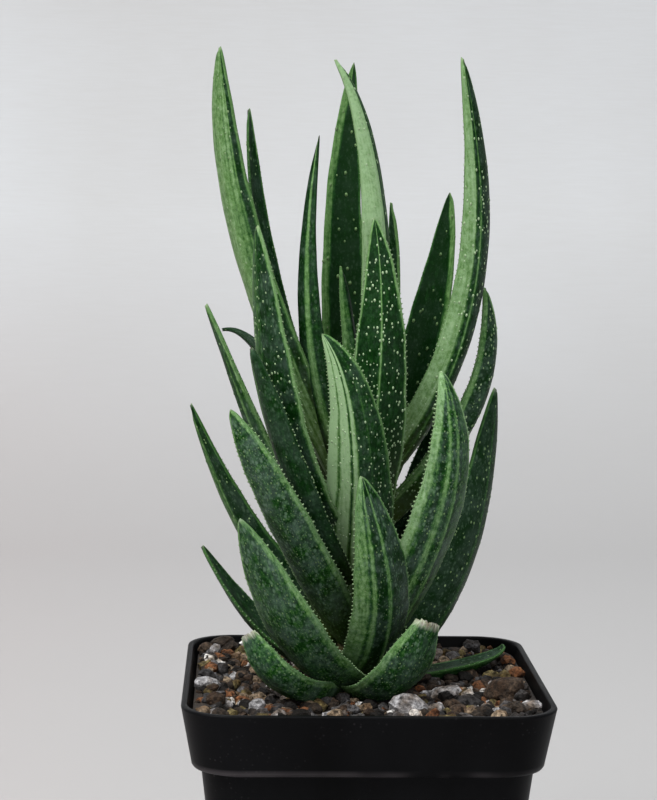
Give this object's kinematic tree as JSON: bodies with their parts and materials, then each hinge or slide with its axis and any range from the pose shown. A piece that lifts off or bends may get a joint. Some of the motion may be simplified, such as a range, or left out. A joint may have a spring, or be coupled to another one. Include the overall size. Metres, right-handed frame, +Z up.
{
  "type": "potted variegated gasteraloe",
  "caption": "Variegated gasteraloe: stiff keeled leaves with pale toothed edges spiral round a short stem, rooted in stony grit in a square tapered nursery pot.",
  "frame": {"origin": "middle of the pot's flat underside", "axes": "+Z up along the pot's axis, -Y towards the front as pictured, +X to the right"},
  "size_m": [0.076, 0.076, 0.2043],
  "materials": {
    "leaf": "satin",
    "leaf_dry": "matte",
    "stem": "matte",
    "grit": "matte",
    "pot": "satin"
  },
  "bodies": {
    "root": {"pot": "pot", "soil": "grit", "stem": "stem", "leaf_young": "leaf", "leaf_tall_left": "leaf", "leaf_left_inner": "leaf", "leaf_inner_slim": "leaf", "leaf_tall_back": "leaf", "leaf_tall_middle": "leaf", "leaf_tall_right": "leaf", "leaf_behind_middle": "leaf", "leaf_back_right": "leaf", "leaf_left_curled": "leaf", "leaf_middle_front": "leaf", "leaf_right_mid": "leaf", "leaf_back_1": "leaf", "leaf_left_front": "leaf", "leaf_left_outer": "leaf", "leaf_back_2": "leaf", "leaf_back_3": "leaf", "leaf_left_slim": "leaf", "leaf_front_broad": "leaf", "leaf_back_4": "leaf", "leaf_back_5": "leaf", "leaf_left_broad": "leaf", "leaf_far_left": "leaf", "leaf_back_6": "leaf", "leaf_back_7": "leaf", "leaf_right_front": "leaf", "leaf_low_far_left": "leaf", "leaf_front_low": "leaf", "leaf_low_left": "leaf", "leaf_back_8": "leaf", "leaf_right_outer": "leaf", "leaf_dry_left": "leaf_dry", "leaf_dry_right": "leaf_dry", "leaf_low_right": "leaf", "leaf_back_9": "leaf"}
  },
  "joints": []
}
